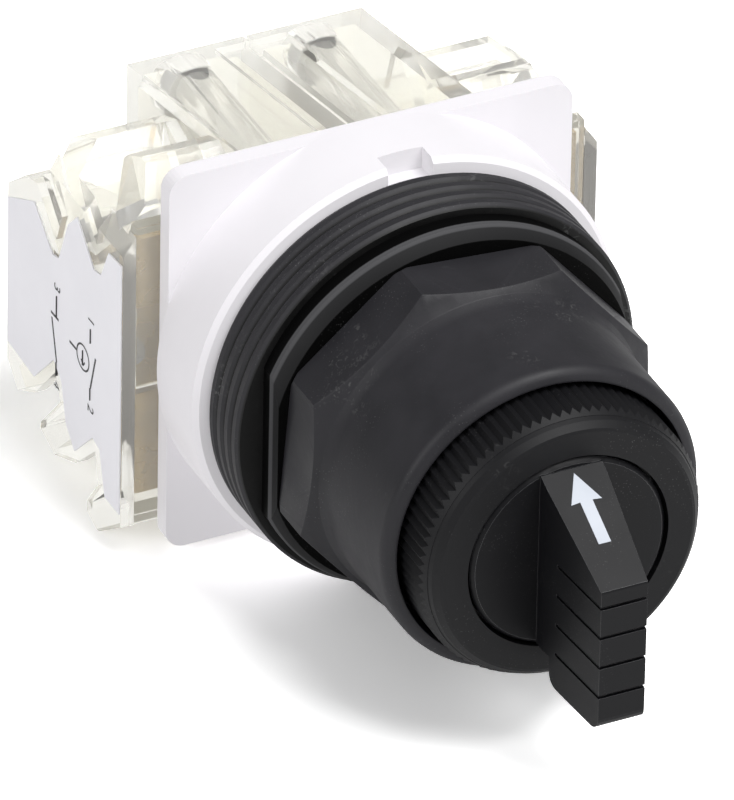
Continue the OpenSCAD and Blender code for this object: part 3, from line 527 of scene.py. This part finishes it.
def label_marks(side):
    mesh = bmesh.new()
    for start, end in [((6.7, 1.7), (6.7, 0.1)), ((6.7, -4.9), (6.7, -6.3)), ((6.7, -4.9), (5.6, -1.0)),
                       ((14.3, 0.8), (14.3, -1.6)), ((14.3, -6.6), (14.3, -8.2)), ((14.3, -6.6), (15.4, -2.2)),
                       ((15.6, -1.7), (13.9, -1.7)), ((8.4, -1.7), (8.4, -3.3)), ((9.9, -2.5), (11.4, -2.5))]:
        ink_bar(mesh, start, end, 0.26)
    for start, end in [((8.0, -2.9), (8.4, -3.4)), ((8.8, -2.9), (8.4, -3.4))]:
        ink_bar(mesh, start, end, 0.2)
    ink_ring(mesh, (8.4, -2.5), 1.35, 0.2)
    for text, centre in [("1", (6.7, 2.6)), ("2", (6.7, -7.3)), ("3", (14.3, 1.7)), ("4", (14.3, -9.2))]:
        ink_number(mesh, text, centre, 1.9, mirrored=side == "right")
    bmesh.ops.translate(mesh, verts=mesh.verts, vec=(-LABEL_X, 0, 0))
    data = bpy.data.meshes.new(f"{side}_label_print")
    mesh.to_mesh(data)
    mesh.free()
    if side == "right":
        data.transform(Matrix.Scale(-1, 4, (1, 0, 0)))
        data.flip_normals()
    piece = bpy.data.objects.new(f"{side}_label_print", data)
    bpy.context.scene.collection.objects.link(piece)
    data.materials.append(finish["ink"])
    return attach(piece, "base")


finish["ink"] = solid("black_ink", (0.02, 0.02, 0.022), (0.05, 0.05, 0.052), (0.5, 0.7), bump=0.0)
for side in SIDES:
    print(label_marks(side).name)

# %% [markdown]
# The picture has a white table and background with one soft shadow. The floor mixes a
# plain white glow, seen mostly through the clear blocks, with a matt white that takes
# the shadow. The matt white is brighter to the camera than to the switch, so the table
# burns out to white around the contact shadow and adds no extra light.

# %% Floor, world and lamps
FLOOR_SEEN = 1.75
FLOOR_BOUNCE = 0.55


def make_floor(level):
    mesh = bmesh.new()
    bmesh.ops.create_grid(mesh, x_segments=1, y_segments=1, size=3.0)
    bmesh.ops.translate(mesh, verts=mesh.verts, vec=(0, 0, level))
    data = bpy.data.meshes.new("table_top")
    mesh.to_mesh(data)
    mesh.free()
    floor = bpy.data.objects.new("table_top", data)
    bpy.context.scene.collection.objects.link(floor)
    material = bpy.data.materials.new("white_table")
    material.use_nodes = True
    tree = material.node_tree
    cover = tree.nodes["Principled BSDF"]
    cover.inputs["Roughness"].default_value = 0.6
    cover.inputs["Specular IOR Level"].default_value = 0.1
    rays = tree.nodes.new("ShaderNodeLightPath")
    camera_ray, glass_ray = rays.outputs["Is Camera Ray"], rays.outputs["Is Transmission Ray"]
    tree.links.new(mix_colour(tree, camera_ray, (0.9, 0.9, 0.9, 1), (FLOOR_SEEN,) * 3 + (1,)),
                   cover.inputs["Base Color"])
    glow = node(tree, "ShaderNodeEmission", {"Color": (1, 1, 1, 1), "Strength": 1.0})
    bounced = node(tree, "ShaderNodeMath", {0: rays.outputs["Is Diffuse Ray"], 1: FLOOR_BOUNCE, 2: 0.02},
                   operation="MULTIPLY_ADD")
    share = node(tree, "ShaderNodeMath", {0: glass_ray, 1: 0.95, 2: bounced.outputs[0]}, operation="MULTIPLY_ADD")
    blend = node(tree, "ShaderNodeMixShader", {0: share.outputs[0], 1: cover.outputs[0], 2: glow.outputs[0]})
    tree.links.new(blend.outputs[0], tree.nodes["Material Output"].inputs["Surface"])
    data.materials.append(material)
    floor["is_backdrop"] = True
    return floor


def make_world():
    world = bpy.data.worlds.new("white_room")
    bpy.context.scene.world = world
    world.use_nodes = True
    tree = world.node_tree
    rays = tree.nodes.new("ShaderNodeLightPath")
    seen = node(tree, "ShaderNodeMath", {0: rays.outputs["Is Camera Ray"], 1: rays.outputs["Is Transmission Ray"]},
                operation="MAXIMUM")
    level = node(tree, "ShaderNodeMapRange", {"Value": seen.outputs[0], 1: 0.0, 2: 1.0, 3: 0.27, 4: 1.0})
    tree.links.new(level.outputs[0], tree.nodes["Background"].inputs["Strength"])
    tree.nodes["Background"].inputs["Color"].default_value = (1, 1, 1, 1)


def lamp(name, place, target, size, power):
    data = bpy.data.lights.new(name, "AREA")
    data.shape = "RECTANGLE"
    data.size, data.size_y = size
    data.energy = power
    made = bpy.data.objects.new(name, data)
    bpy.context.scene.collection.objects.link(made)
    made.location = place
    made.rotation_euler = (Vector(target) - Vector(place)).to_track_quat("-Z", "Y").to_euler()
    return made


make_floor(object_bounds()[0][2] - 0.00002)
make_world()
lamp("top_box", (0.18, -0.26, 0.62), (0, -0.01, 0), (0.45, 0.35), 4.8)
lamp("left_box", (-0.62, -0.16, 0.36), (0, 0, 0), (0.35, 0.35), 1.8)
lamp("front_box", (0.35, -0.6, 0.45), (0, -0.02, 0), (0.3, 0.3), 1.5)
bpy.context.scene.view_settings.view_transform = "Standard"
print("stage ready")
